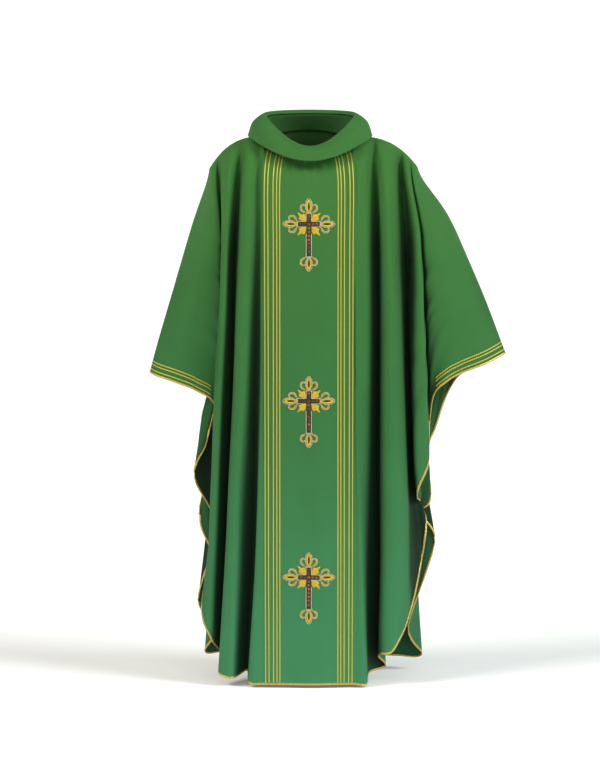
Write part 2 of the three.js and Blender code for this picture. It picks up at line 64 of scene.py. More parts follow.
# Fold lines in millimetres, from the centre panel outwards to the fold of the sleeve. Each has the place
# where it leaves the shoulder line, then its points at the chest, waist, thigh and edge.
FRONT_LEFT = [
    [-106, -111, -133, -260, -114, -131, -600, -125, -136, -950, -142, -146, -1284],  # turn of the panel
    [-116, -119, -120, -260, -124, -96, -600, -130, -84, -950, -148, -84, -1264],  # valley beside it
    [-132, -146, -136, -260, -160, -128, -600, -174, -132, -950, -182, -138, -1274],  # first ridge
    [-144, -166, -124, -260, -181, -112, -600, -196, -112, -950, -214, -114, -1264],  # its side
    [-156, -174, -76, -260, -181, -50, -600, -190, -42, -950, -200, -50, -1238],  # dark valley
    [-184, -196, -126, -260, -208, -108, -600, -222, -100, -950, -234, -96, -1186],  # second ridge
    [-204, -207, -106, -260, -225, -84, -600, -239, -72, -950, -256, -66, -1112],  # its side
    [-211, -203, -66, -220, -209, -40, -450, -217, -18, -720, -226, -8, -925],  # bottom of the side fold
    [-216, -207, -62, -225, -218, -52, -500, -256, -38, -668, -273, -26, -808],  # tip of the side fold
    [-219, -209, -72, -215, -215, -64, -400, -225, -55, -580, -244, -43, -720],  # face of the side fold
    [-223, -211, -84, -205, -212, -74, -350, -216, -64, -500, -226, -52, -628],  # inner edge of the sleeve
    [-228, -228, -82, -205, -244, -73, -350, -257, -67, -480, -269, -62, -592],  # sleeve near the body
    [-231, -250, -60, -205, -278, -60, -350, -300, -56, -480, -316, -54, -574],  # sleeve middle
    [-234, -270, -22, -205, -309, -26, -350, -344, -25, -480, -364, -24, -562],  # sleeve near its fold
    [-236, -277, 0, -200, -321, 0, -350, -359, 0, -480, -379, 0, -556],  # fold of the sleeve
]
FRONT_RIGHT = [
    [106, 111, -133, -260, 114, -131, -600, 125, -136, -950, 137, -146, -1288],  # turn of the panel
    [128, 140, -122, -260, 142, -104, -600, 142, -90, -950, 143, -84, -1270],  # start of the recess
    [152, 166, -74, -260, 168, -48, -600, 171, -40, -950, 182, -44, -1262],  # bottom of the recess
    [166, 174, -116, -260, 173, -106, -600, 171, -108, -950, 168, -114, -1221],  # edge of the first ridge
    [180, 190, -130, -260, 198, -122, -600, 206, -126, -950, 204, -132, -1206],  # first ridge
    [200, 208, -110, -260, 224, -92, -600, 241, -86, -950, 247, -80, -1108],  # its side
    [210, 226, -50, -240, 233, -26, -520, 241, -30, -840, 281, -44, -930],  # dark valley
    [220, 237, -44, -230, 240, -18, -480, 254, -10, -700, 269, -14, -872],  # back of the valley
    [228, 250, -96, -235, 248, -88, -460, 248, -88, -660, 258, -90, -836],  # edge of the second ridge
    [236, 262, -104, -230, 272, -96, -440, 279, -90, -610, 284, -82, -768],  # second ridge
    [240, 266, -80, -215, 274, -62, -400, 280, -54, -560, 287, -46, -690],  # crease beside the sleeve
    [244, 272, -92, -205, 281, -78, -350, 288, -66, -490, 297, -55, -606],  # inner edge of the sleeve
    [249, 288, -88, -200, 306, -78, -330, 318, -68, -450, 326, -62, -572],  # sleeve near the body
    [253, 306, -72, -190, 332, -68, -310, 350, -62, -430, 361, -58, -552],  # sleeve middle
    [256, 324, -40, -185, 368, -40, -290, 402, -38, -410, 424, -36, -530],  # sleeve near its fold
    [258, 332, 0, -180, 383, 0, -292, 424, 0, -390, 469, 0, -510],  # fold of the sleeve
]
BACK_LEFT = [
    [-106, -112, 108, -260, -116, 112, -600, -124, 124, -950, -136, 138, -1256],  # turn of the panel
    [-120, -132, 88, -260, -138, 76, -600, -144, 70, -950, -150, 68, -1250],  # valley beside it
    [-140, -164, 106, -260, -176, 104, -600, -190, 108, -950, -206, 112, -1254],  # first ridge
    [-170, -190, 86, -260, -206, 80, -600, -228, 82, -950, -250, 86, -1250],  # its side
    [-196, -200, 58, -260, -212, 48, -600, -222, 44, -950, -226, 40, -1190],  # dark valley
    [-206, -206, 54, -240, -216, 42, -520, -234, 36, -840, -266, 34, -1116],  # second ridge
    [-212, -205, 50, -230, -212, 32, -500, -222, 20, -780, -236, 16, -1000],  # bottom of the side fold
    [-217, -208, 54, -220, -216, 42, -450, -240, 28, -700, -262, 20, -905],  # tip of the side fold
    [-220, -206, 58, -210, -211, 52, -390, -214, 45, -560, -217, 37, -730],  # crease beside the sleeve
    [-224, -211, 70, -205, -214, 67, -350, -221, 63, -500, -236, 58, -618],  # inner edge of the sleeve
    [-228, -228, 70, -205, -244, 68, -350, -257, 64, -480, -269, 60, -586],  # sleeve near the body
    [-231, -250, 54, -205, -278, 56, -350, -300, 54, -480, -316, 52, -570],  # sleeve middle
    [-234, -270, 22, -205, -309, 26, -350, -344, 25, -480, -364, 24, -561],  # sleeve near its fold
    [-236, -277, 0, -200, -321, 0, -350, -359, 0, -480, -379, 0, -556],  # fold of the sleeve
]
BACK_RIGHT = [
    [106, 112, 108, -260, 116, 112, -600, 124, 124, -950, 136, 138, -1258],  # turn of the panel
    [118, 138, 88, -260, 144, 76, -600, 150, 70, -950, 156, 68, -1252],  # valley beside it
    [150, 176, 106, -260, 190, 104, -600, 206, 106, -950, 216, 112, -1264],  # first ridge
    [190, 212, 84, -260, 228, 80, -600, 250, 84, -950, 273, 86, -1256],  # its side
    [214, 226, 58, -260, 238, 48, -600, 244, 42, -950, 240, 38, -1180],  # dark valley
    [226, 234, 52, -240, 246, 40, -480, 266, 34, -740, 302, 30, -975],  # second ridge
    [234, 240, 46, -230, 248, 30, -470, 256, 18, -700, 264, 12, -900],  # bottom of the side fold
    [240, 250, 52, -225, 262, 36, -450, 276, 22, -660, 291, 12, -868],  # tip of the side fold
    [244, 258, 58, -215, 268, 48, -400, 276, 40, -580, 284, 34, -760],  # crease beside the sleeve
    [248, 272, 72, -210, 284, 64, -370, 296, 56, -540, 306, 50, -692],  # inner edge of the sleeve
    [252, 290, 72, -200, 310, 70, -340, 326, 64, -480, 336, 60, -610],  # sleeve near the body
    [254, 308, 62, -190, 334, 60, -315, 354, 57, -440, 368, 54, -566],  # sleeve middle
    [256, 324, 36, -185, 368, 36, -290, 402, 35, -410, 425, 34, -532],  # sleeve near its fold
    [258, 332, 0, -180, 383, 0, -292, 424, 0, -390, 469, 0, -510],  # fold of the sleeve
]


def unit(vectors):
    """Vectors divided by their own length."""
    return vectors / np.maximum(np.linalg.norm(vectors, axis=-1, keepdims=True), 1e-12)


def through(points, places, before=None, after=None):
    """A smooth curve through points (first axis), read at places counted in points. In each stretch it is
    the cubic that leaves each end along the line between that end's two neighbours."""
    before = 2 * points[0] - points[1] if before is None else before
    after = 2 * points[-1] - points[-2] if after is None else after
    chain = np.concatenate([before[None], points, after[None]])
    stretch = np.minimum(np.floor(places).astype(int), len(points) - 2)
    f = (places - stretch).reshape(-1, *[1] * (points.ndim - 1))
    a, b, c, d = (chain[stretch + i] for i in range(4))
    leave, arrive = (c - a) / 2, (d - b) / 2
    return b + leave * f + (3 * (c - b) - 2 * leave - arrive) * f**2 + (2 * (b - c) + leave + arrive) * f**3


def neckline(angle):
    """The neck opening by the angle from the front: an oval, x = half width times sine, y = reach times
    cosine, which dips in front by the square of the cosine."""
    along = np.cos(angle)
    front = along > 0
    height = SHOULDER_TOP + np.where(front, -NECK_DIP, NECK_RISE) * along**2
    return np.stack([NECK_HALF * np.sin(angle), -np.where(front, NECK_FRONT, NECK_BACK) * along, height], -1)


def fold_lines(table):
    """Six points for each fold line: on the shoulder line, which falls with the cube of the distance from
    the neck, then over the shoulder, then the four points of the table. Near the sleeve the line falls
    steeply before it spreads."""
    table = np.array(table) / 1000
    x, levels = table[:, 0], table[:, 1:].reshape(-1, 4, 3)
    end = np.where(x < 0, SHOULDER_LEFT, SHOULDER_RIGHT)
    drop = np.maximum((abs(x) - NECK_HALF) / (end - NECK_HALF), 0) ** 3
    top = np.stack([x, 0 * x, SHOULDER_TOP - SHOULDER_DROP * drop], -1)
    chest = levels[:, 0]
    spread = 0.6 - 0.4 * np.clip((abs(x) - 0.12) / 0.1, 0, 1)
    out = x + (chest[:, 0] - x) * spread
    over = np.stack([out, 0.76 * chest[:, 1], 0.72 * top[:, 2] + 0.28 * chest[:, 2]], -1)
    return np.concatenate([top[:, None], over[:, None], levels], 1)


def panel_lines(front):
    """Six points for each line of the centre panel, straight down from the neckline. The panel bows back
    by the square of the distance from its middle."""
    u = np.linspace(-PANEL_HALF, PANEL_HALF, PANEL_LINES)
    part = u / PANEL_HALF
    bow = 0.008 * part**2
    angle = np.arcsin(part * 0.985)
    depths = [-0.120, -0.142, -0.138, -0.144, -0.157] if front else [0.100, 0.116, 0.120, 0.132, 0.148]
    heights = [-0.095, -0.26, -0.60, -0.95, -1.286 if front else -1.256]
    rises = [4, 0, 0, 0, 0]
    back = 1 if front else -1
    curls = [2, 1, 1, 1, 1]
    lines = [neckline(angle if front else np.pi - angle)]
    for depth, height, rise, curl in zip(depths, heights, rises, curls):
        lines.append(np.stack([u, depth + back * curl * bow, height + rise * bow], -1))
    return np.stack(lines, 1)


def ripples(across, down, seed):
    """Slow unevenness of hanging cloth: a sum of sines in the distance across and down."""
    draw = np.random.default_rng(seed)
    rise = 0
    for wide, tall, high in [(0.11, 1.4, 0.0009), (0.07, 1.1, 0.0004), (0.16, 0.8, 0.0008)]:
        turn = draw.uniform(0, 6.28, 2)
        rise = rise + high * np.sin(6.28 * across / wide + turn[0] + np.sin(6.28 * down / tall + turn[1]))
    return rise


def hang(left, right, front):
    """The fine surface of one cloth: first along each fold line, then across all of them at each level.
    Beyond the shoulder line and beyond the sleeve's fold the curves go on as in a mirror, so both turn
    smoothly over to the other cloth."""
    sides = [fold_lines(left)[::-1], panel_lines(front), fold_lines(right)]
    lines = np.concatenate(sides)
    on_panel = np.zeros(len(lines), bool)
    on_panel[len(sides[0]) : len(sides[0]) + PANEL_LINES] = True
    if not front:
        lines, on_panel = lines[::-1], on_panel[::-1]
    mirror = np.array([1, -1, 1])
    start = np.where(on_panel[:, None], 2 * lines[:, 0] - lines[:, 1], lines[:, 1] * mirror)
    row_places = np.concatenate([i + np.arange(n) / n for i, n in enumerate(SPAN_ROWS)] + [[5.0]])
    drop = through(lines.transpose(1, 0, 2), row_places, before=start).transpose(1, 0, 2)
    steps = np.where(on_panel[:-1] & on_panel[1:], PANEL_STEPS, FOLD_STEPS)
    column_places = np.concatenate([i + np.arange(n) / n for i, n in enumerate(steps)] + [[len(steps)]])
    middle = through(drop, column_places, drop[1] * mirror, drop[-2] * mirror).transpose(1, 0, 2)
    centre = int(steps[: np.flatnonzero(on_panel)[PANEL_LINES // 2]].sum())
    return middle, centre


def with_normals(middle):
    """Unit vectors out of the cloth, away from the wearer: the way down crossed with the way across."""
    return unit(np.cross(np.gradient(middle, axis=0), np.gradient(middle, axis=1)))


def distances(middle, centre):
    """Distance across from the centre line and down from the top, along the cloth."""
    across = np.cumsum(np.linalg.norm(np.diff(middle, axis=1, prepend=middle[:, :1]), axis=-1), 1)
    down = np.cumsum(np.linalg.norm(np.diff(middle, axis=0, prepend=middle[:1]), axis=-1), 0)
    return across - across[:, centre : centre + 1], down


def mesh_object(name, points, faces, material, uv=None):
    """A smooth-shaded mesh from an array of points and an array of four-sided faces (a face whose last two
    corners are alike has three). uv has a pair for each point."""
    faces = np.asarray(faces)
    three = faces[:, 2] == faces[:, 3]
    sizes = np.where(three, 3, 4)
    keep = np.ones(faces.shape, bool)
    keep[three, 3] = False
    corners = faces[keep]
    mesh = bpy.data.meshes.new(name)
    mesh.vertices.add(len(points))
    mesh.vertices.foreach_set("co", np.asarray(points, np.float32).ravel())
    mesh.loops.add(len(corners))
    mesh.loops.foreach_set("vertex_index", corners.astype(np.int32))
    mesh.polygons.add(len(faces))
    mesh.polygons.foreach_set("loop_start", np.concatenate([[0], np.cumsum(sizes)[:-1]]).astype(np.int32))
    if uv is not None:
        layer = mesh.uv_layers.new(name="flat")
        layer.data.foreach_set("uv", np.asarray(uv, np.float32)[corners].ravel())
    mesh.update(calc_edges=True)
    mesh.shade_smooth()
    mesh.materials.append(material)
    made = bpy.data.objects.new(name, mesh)
    bpy.context.scene.collection.objects.link(made)
    return made


def grid_faces(rows, columns, start=0, turn=False):
    """Faces of a grid of points, row by row."""
    a = (np.arange(rows - 1)[:, None] * columns + np.arange(columns - 1)).ravel() + start
    faces = np.stack([a, a + columns, a + columns + 1, a + 1], -1)
    return faces[:, ::-1] if turn else faces


def sheet_object(name, middle, normals, thick, material, uv):
    """A closed sheet: an outer and an inner surface half the thickness off the middle, and four walls."""
    rows, columns = middle.shape[:2]
    size = rows * columns
    outer, inner = middle + normals * thick / 2, middle - normals * thick / 2
    points = np.concatenate([outer.reshape(-1, 3), inner.reshape(-1, 3)])
    number = np.arange(size).reshape(rows, columns)
    rim = np.concatenate([number[0, ::-1], number[1:, 0], number[-1, 1:], number[-2:0:-1, -1]])
    after = np.roll(rim, -1)
    walls = np.stack([rim, rim + size, after + size, after], -1)
    faces = np.concatenate([grid_faces(rows, columns), grid_faces(rows, columns, size, True), walls[:, ::-1]])
    return mesh_object(name, points, faces, material, np.concatenate([uv.reshape(-1, 2)] * 2))


def node(tree, kind, inputs=(), **settings):
    """One shader node. An input is a value, or the socket that feeds it."""
    made = tree.nodes.new("ShaderNode" + kind)
    for key, value in settings.items():
        setattr(made, key, value)
    for key, value in dict(inputs).items():
        if isinstance(value, bpy.types.NodeSocket):
            tree.links.new(value, made.inputs[key])
        else:
            made.inputs[key].default_value = value
    return made


def blank(name, **sockets):
    """A new material, its node tree and its shader, with the shader's own values set."""
    material = bpy.data.materials.new(name)
    material.use_nodes = True
    shader = material.node_tree.nodes["Principled BSDF"]
    for key, value in sockets.items():
        shader.inputs[key.replace("_", " ")].default_value = value
    return material, material.node_tree, shader


def eased(tree, value, *span, **settings):
    """A value carried from one span to another: its least, its most, and what those become."""
    ends = dict(zip(["From Min", "From Max", "To Min", "To Max"], span))
    return node(tree, "MapRange", {"Value": value, **ends}, **settings).outputs["Result"]


def times(tree, colour, share):
    """A colour multiplied by a share."""
    settings = {"data_type": "RGBA", "blend_type": "MULTIPLY"}
    return node(tree, "Mix", {0: 1.0, 6: colour, 7: share}, **settings).outputs[2]


def ends_of(ramp, first, last):
    """Sets the first and the last colour of a ramp."""
    ramp.elements[0].color = (*first, 1)
    ramp.elements[1].color = (*last, 1)


def crepe(name, high, middle, low, weave=1.0, folded=False):
    """Matte crepe: a pebbled surface of tightly twisted threads, with a faint grain across and down and a
    colour that drifts from darker and warm at the shoulders to lighter and bluish at the hem, which is
    painted light. Folded cloth is darkened by the piece's own "open" value, which is painted shade of the
    folds put into the colour."""
    material, tree, shader = blank(name, Roughness=0.85, Specular_IOR_Level=0.25, Sheen_Weight=0.05)
    shader.inputs["Sheen Tint"].default_value = (0.35, 0.9, 0.4, 1)
    place = node(tree, "TexCoord")
    height = node(tree, "SeparateXYZ", {"Vector": place.outputs["Object"]}).outputs["Z"]
    # Painted light: the colour drifts with height from the hem's lighter bluish green to the shoulders' darker
    # warm green.
    painted_light_drift = node(tree, "ValToRGB", {"Fac": eased(tree, height, -1.3, 0.06)})
    ends_of(painted_light_drift.color_ramp, low, high)
    painted_light_drift.color_ramp.elements.new(0.5).color = (*middle, 1)
    blotch = node(tree, "TexNoise", {"Vector": place.outputs["Object"], "Scale": 9.0, "Detail": 3.0})
    pebble = node(tree, "TexNoise", {"Vector": place.outputs["UV"], "Scale": 900.0, "Detail": 2.0})
    grain = node(tree, "Mapping", {"Vector": place.outputs["UV"], "Scale": (1500, 90, 1)})
    thread = node(tree, "TexNoise", {"Vector": grain.outputs["Vector"], "Scale": 1.0, "Detail": 1.0})
    uneven = node(tree, "Math", {0: blotch.outputs["Fac"], 1: thread.outputs["Fac"]}, operation="ADD")
    colour = times(tree, painted_light_drift.outputs["Color"], eased(tree, uneven.outputs[0], 0.6, 1.4, 0.92, 1.08))
    # Painted shade of the folds: the colour is multiplied by a share that falls where the "open" value is low.
    if folded:
        seen = node(tree, "Attribute", attribute_name="open")
        deep = eased(tree, seen.outputs["Fac"], 0.12, 0.76, 0.14, interpolation_type="SMOOTHSTEP")
        colour = times(tree, colour, deep)
    tree.links.new(colour, shader.inputs["Base Color"])
    bump = node(tree, "Bump", {"Height": pebble.outputs["Fac"], "Strength": 0.35 * weave, "Distance": 0.0004})
    ribs = node(tree, "Bump", {"Height": thread.outputs["Fac"], "Strength": 0.25 * weave, "Distance": 0.0003})
    tree.links.new(bump.outputs["Normal"], ribs.inputs["Normal"])
    tree.links.new(ribs.outputs["Normal"], shader.inputs["Normal"])
    return material


def openness(middle, away, reach=30):
    """How much room each place sees sideways past the folds, none to all: one less the mean of the sines of
    the two horizons, each the steepest slope along the row within reach. away is the way out in Y."""
    x, rise = middle[..., 0], middle[..., 1] * away
    steepest = np.zeros((2, *x.shape))
    for step in range(1, reach):
        slope = (rise[:, step:] - rise[:, :-step]) / np.maximum(abs(x[:, step:] - x[:, :-step]), 0.002)
        steepest[0, :, :-step] = np.maximum(steepest[0, :, :-step], slope)
        steepest[1, :, step:] = np.maximum(steepest[1, :, step:], -slope)
    return 1 - (steepest / np.sqrt(1 + steepest**2)).mean(0)


def settle(piece, slot, *nodes):
    """A finished piece: it goes with the garment and stands for its CAD nodes. slot, its finish's slot, is not
    used.
    """
    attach(piece, "root")
    if nodes:
        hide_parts(*nodes)
    return piece


# Tucks under the front of the collar: the place and the half width of each.
GATHERS = [(-0.044, 0.006), (-0.020, 0.008), (0.002, 0.006), (0.022, 0.007), (0.046, 0.006)]
# The change of green from the shoulders to the hem is painted light, as the light fell on the cloth.
GREENS = [(0.033, 0.130, 0.020), (0.026, 0.124, 0.031), (0.033, 0.166, 0.070)]  # shoulders, middle, hem
cloth_green = crepe("green_crepe", *GREENS, folded=True)
cloths = {}
for side, left, right in [("front", FRONT_LEFT, FRONT_RIGHT), ("back", BACK_LEFT, BACK_RIGHT)]:
    middle, centre = hang(left, right, side == "front")
    across, down = distances(middle, centre)
    inward = np.minimum(across - across[:, :1], across[:, -1:] - across)
    wave = ripples(across, down, seed=3 if side == "front" else 4)
    wave = wave * np.clip(down / 0.12, 0, 1) * np.clip((inward - 0.004) / 0.14, 0, 1)
    for x, half in GATHERS if side == "front" else []:
        wave = wave - 0.0045 * np.exp(-(((across - x) / half) ** 2) - (down / 0.048) ** 2)
    middle = middle + with_normals(middle) * wave[..., None]
    across, down = distances(middle, centre)
    out = with_normals(middle)
    cloths[side] = {"middle": middle, "out": out, "down": down, "centre": centre}
    piece = sheet_object(f"{side}_cloth", middle, out, THICK, cloth_green, np.stack([across, -down], -1))
    # Painted shade: places that see little room past the folds on either side get a darker colour. Beside the
    # panel it fades in over the first 0.3 m down, and the inner face gets one even shade.
    seen = openness(middle, -1 if side == "front" else 1)
    hollow = np.where(abs(across) < PANEL_HALF, 1, np.clip(down / 0.3, 0, 1))
    seen = 1 - (1 - seen) * hollow
    seen = np.concatenate([seen.ravel(), np.full(seen.size, 0.45)])
    piece.data.attributes.new("open", "FLOAT", "POINT").data.foreach_set("value", seen.astype(np.float32))
    settle(piece, "cloth", *[f"{side}_{part}_panel" for part in ("left", "centre", "right")])

# ---------------------------------------------------------------------------------------------------------
# Gold edging. A narrow strip of gold cloth is folded over the raw edge of each cloth and stitched through.
EDGING_WIDE, EDGING_HIGH = 0.0052, 0.0030


def on_cloth(cloth, rows, columns, lift=0.0):
    """Places at fractional rows and columns, lifted off the cloth's outer face, and the way out there."""
    count_rows, count_columns = cloth["middle"].shape[:2]
    r = np.clip(np.floor(rows).astype(int), 0, count_rows - 2)
    c = np.clip(np.floor(columns).astype(int), 0, count_columns - 2)
    fr, fc = (rows - r)[..., None], (columns - c)[..., None]

    def blend(table):
        """The table read between its four nearest places."""
        upper = table[r, c] * (1 - fc) + table[r, c + 1] * fc
        lower = table[r + 1, c] * (1 - fc) + table[r + 1, c + 1] * fc
        return upper * (1 - fr) + lower * fr

    out = unit(blend(cloth["out"]))
    return blend(cloth["middle"]) + out * (THICK / 2 + lift), out


def evenly(path, step):
    """Places along a path, counted in its points, that are an even distance apart."""
    along = np.concatenate([[0], np.cumsum(np.linalg.norm(np.diff(path, axis=0), axis=-1))])
    count = max(int(along[-1] / step), 2)
    return np.interp(np.linspace(0, along[-1], count + 1), along, np.arange(len(path)))


def carried(path, out, shape, step_uv):
    """A closed section carried along a path. shape holds two arrays, the distance sideways and the distance
    out, for each step and each point of the section. The ends are closed to their middle."""
    way = unit(np.gradient(path, axis=0))
    sideways = unit(np.cross(way, out))
    side, up = shape
    ring = path[:, None] + sideways[:, None] * side[..., None] + out[:, None] * up[..., None]
    steps, around = side.shape
    ends = ring[[0, -1]].mean(1)
    points = np.concatenate([ring.reshape(-1, 3), ends])
    a = (np.arange(steps - 1)[:, None] * around + np.arange(around)).ravel()
    b = (np.arange(steps - 1)[:, None] * around + (np.arange(around) + 1) % around).ravel()
    faces = [np.stack([a, a + around, b + around, b], -1)]
    ring_0 = np.arange(around)
    next_0 = (ring_0 + 1) % around
    first, last = steps * around, steps * around + 1
    base = (steps - 1) * around
    faces.append(np.stack([ring_0, next_0, 0 * ring_0 + first, 0 * ring_0 + first], -1))
    faces.append(np.stack([base + next_0, base + ring_0, 0 * ring_0 + last, 0 * ring_0 + last], -1))
    along = np.repeat(np.arange(steps) * step_uv, around)
    uv = np.stack([along, np.tile(np.arange(around) / around, steps)], -1)
    uv = np.concatenate([uv, [[0, 0.5], [steps * step_uv, 0.5]]])
    return points, np.concatenate(faces), uv


def gold_thread(name, colour, deep, pitch, roughness=0.34, metal=0.75):
    """Metallic thread laid side by side: its colour is painted light on top of each twist and painted shade,
    darker and browner, between them, broken by random specks. The pattern runs along the piece with the
    given distance from twist to twist."""
    material, tree, shader = blank(name, Roughness=roughness, Metallic=metal)
    place = node(tree, "TexCoord")
    turn = node(tree, "Mapping", {"Vector": place.outputs["UV"], "Scale": (1 / pitch, 2.0, 1)})
    wave = {"Vector": turn.outputs["Vector"], "Scale": 0.314, "Distortion": 1.2, "Detail": 1.0}
    twist = node(tree, "TexWave", wave, bands_direction="DIAGONAL")
    speck = node(tree, "TexNoise", {"Vector": place.outputs["Object"], "Scale": 420.0, "Detail": 2.0})
    mixed = node(tree, "Math", {0: twist.outputs["Fac"], 1: speck.outputs["Fac"]}, operation="MULTIPLY")
    # Painted light and shade: the ramp goes from the shade colour between the twists to the lit colour on their
    # tops.
    ramp = node(tree, "ValToRGB", {"Fac": mixed.outputs[0]})
    ends_of(ramp.color_ramp, deep, colour)
    ramp.color_ramp.elements[1].position = 0.42
    tree.links.new(ramp.outputs["Color"], shader.inputs["Base Color"])
    bump = node(tree, "Bump", {"Height": twist.outputs["Fac"], "Strength": 0.5, "Distance": 0.0004})
    tree.links.new(bump.outputs["Normal"], shader.inputs["Normal"])
    return material


edging_gold = gold_thread("edging_gold", (0.66, 0.47, 0.13), (0.30, 0.18, 0.03), 0.0016)
for side, cloth in cloths.items():
    last = cloth["middle"].shape[0] - 1
    places = evenly(cloth["middle"][-1], 0.003)
    path, out = on_cloth(cloth, np.full(len(places), float(last)), places, -THICK / 2)
    inward = unit(on_cloth(cloth, np.full(len(places), last - 0.5), places, -THICK / 2)[0] - path)
    way = unit(np.gradient(path, axis=0))
    inward = unit(inward - way * (inward * way).sum(-1, keepdims=True))
    angle = 2 * np.pi * np.arange(12) / 12
    draw = np.random.default_rng(8)
    crinkle = 1 + 0.08 * np.sin(np.arange(len(path)) * 1.7 + draw.uniform(0, 6, len(path)) * 0.3)
    flat = np.sign(np.cos(angle)) * abs(np.cos(angle)) ** 0.6 * EDGING_WIDE / 2
    high = np.sign(np.sin(angle)) * abs(np.sin(angle)) ** 0.7 * EDGING_HIGH / 2
    path = path + inward * (EDGING_WIDE / 2 - 0.0008)
    section = (np.tile(flat, (len(path), 1)), crinkle[:, None] * high[None])
    points, faces, uv = carried(path, out, section, 0.003)
    piece = mesh_object(f"{side}_edging", points, faces, edging_gold, uv)
    settle(piece, "piping", f"{side}_edge_piping")

# ---------------------------------------------------------------------------------------------------------
# Gold braids. Narrow plaited braid is couched down in parallel lines on either side of the centre panel.
BRAIDS = [0.069, 0.076, 0.084, 0.095, 0.103]
BRAID_WIDE, BRAID_HIGH = 0.0030, 0.0010
PLAIT = 0.0026  # length of one crossing of the plait
BRAID_STEP = 0.0013


def braid(name, cloth, rows, columns, nodes):
    """Plaited braid on the cloth: a low arch whose crown rises and whose sides swell once in each plait."""
    places = evenly(on_cloth(cloth, rows, columns)[0], BRAID_STEP)
    steps = np.arange(len(rows))
    path, out = on_cloth(cloth, np.interp(places, steps, rows), np.interp(places, steps, columns))
    along = np.arange(len(path)) * BRAID_STEP
    beat = np.cos(2 * np.pi * along / PLAIT)
    side = np.array([-1, -0.62, 0, 0.62, 1, 0]) * BRAID_WIDE / 2
    high = np.array([0.1, 0.85, 1, 0.85, 0.1, -0.25]) * BRAID_HIGH
    swell = 1 + 0.09 * beat[:, None] * np.array([1, 0.5, 0, 0.5, 1, 0])
    lean = 1 + 0.16 * beat[:, None] * np.array([0, 1, 0.4, -1, 0, 0])
    points, faces, uv = carried(path, out, (side * swell, high * lean), BRAID_STEP)
    return settle(mesh_object(name, points, faces, braid_gold, uv), "braid", *nodes)


braid_gold = gold_thread("braid_gold", (0.58, 0.50, 0.07), (0.26, 0.23, 0.025), PLAIT, 0.42, 0.35)
for side, cloth in cloths.items():
    last = cloth["middle"].shape[0] - 1
    for sign in (-1, 1):
        for i, distance in enumerate(BRAIDS):
            hand = "left" if (sign < 0) == (side == "front") else "right"
            column = cloth["centre"] + sign * distance / (2 * PANEL_HALF / (PANEL_LINES - 1) / PANEL_STEPS)
            rows = np.linspace(1, last - 0.6, 200)
            name = f"{side}_{hand}_braid_{i + 1}"
            braid(f"{name}_plait", cloth, rows, np.full(200, column), [name])

# Three more braids run along the edge of each sleeve, parallel to its gold edging.
SLEEVE_BRAIDS = [0.011, 0.0225, 0.030]
SLEEVE_FOLDS = 3.7  # fold lines that they cross, from the fold of the sleeve inwards
for side, cloth in cloths.items():
    last_row, last_column = (n - 1 for n in cloth["middle"].shape[:2])
    left_first = side == "front"
    for hand in ("left", "right"):
        columns = np.linspace(0.3, SLEEVE_FOLDS * FOLD_STEPS, 60)
        if (hand == "left") != left_first:
            columns = last_column - columns[::-1]
        for i, inset in enumerate(SLEEVE_BRAIDS):
            near = np.round(columns).astype(int)
            rise = cloth["down"][-1, near] - cloth["down"][:, near]
            level = np.arange(last_row + 1)
            rows = np.array([np.interp(-inset, -rise[:, k], level) for k in range(len(near))])
            rows = np.convolve(np.pad(rows, 2, "edge"), np.ones(5) / 5, "valid")
            name = f"{side}_{hand}_sleeve_braid_{i + 1}"
            braid(f"{name}_plait", cloth, rows, columns, [name])

# ---------------------------------------------------------------------------------------------------------
# The collar. A band of the same crepe, folded double over stiff canvas, stands up from the neckline and
# rolls outwards and down. The canvas is the CAD piece, hidden between the two layers.
COLLAR_SHIFT = 0.003
COLLAR_TURNS = 180
COLLAR_THICK = 0.0028


def dip(angle, power):
    """One in front, falling to none at the back."""
    return ((1 + np.cos(angle)) / 2) ** power


def out_of(angle, amount, up=0.0):
    """A move away from the middle of the neck, and up."""
    return np.stack([np.sin(angle) * amount, -np.cos(angle) * amount, 0 * angle + up], -1)


def ring(half, front, back, height):
    """An oval round the neck: half width, reach in front and behind, and a height for each angle."""
    angle = 2 * np.pi * np.arange(COLLAR_TURNS) / COLLAR_TURNS
    along = np.cos(angle)
    reach = np.where(along > 0, front, back)
    return np.stack([COLLAR_SHIFT + half * np.sin(angle), -reach * along, height], -1)


def band_object(name, lines, steps, thick, material):
    """A closed band of sheet round the neck, smooth through the given rings from its top to its edge."""
    middle = through(np.stack(lines), np.linspace(0, len(lines) - 1, steps))
    wrapped = np.concatenate([middle[:, -1:], middle, middle[:, :1]], 1)
    out = unit(np.cross(np.gradient(middle, axis=0), np.gradient(wrapped, axis=1)[:, 1:-1]))
    outer, inner = middle + out * thick / 2, middle - out * thick / 2
    nose_top = middle[0] + unit(middle[0] - middle[1]) * thick / 3
    nose_edge = middle[-1] + unit(middle[-1] - middle[-2]) * thick / 3
    loop = np.concatenate([nose_top[None], outer, nose_edge[None], inner[::-1]])
    rows, columns = loop.shape[:2]
    number = np.arange(rows * columns).reshape(rows, columns)
    a, b = number, np.roll(number, -1, 0)
    faces = np.stack([a, b, np.roll(b, -1, 1), np.roll(a, -1, 1)], -1).reshape(-1, 4)
    round_neck = np.arange(columns) / columns * 0.8
    down = np.arange(rows) * 0.003
    uv = np.stack(np.broadcast_arrays(round_neck[None], -down[:, None]), -1).reshape(-1, 2)
    return mesh_object(name, loop.reshape(-1, 3), faces, material, uv)


collar_green = crepe("collar_crepe", *[(0.031, 0.122, 0.024)] * 3)
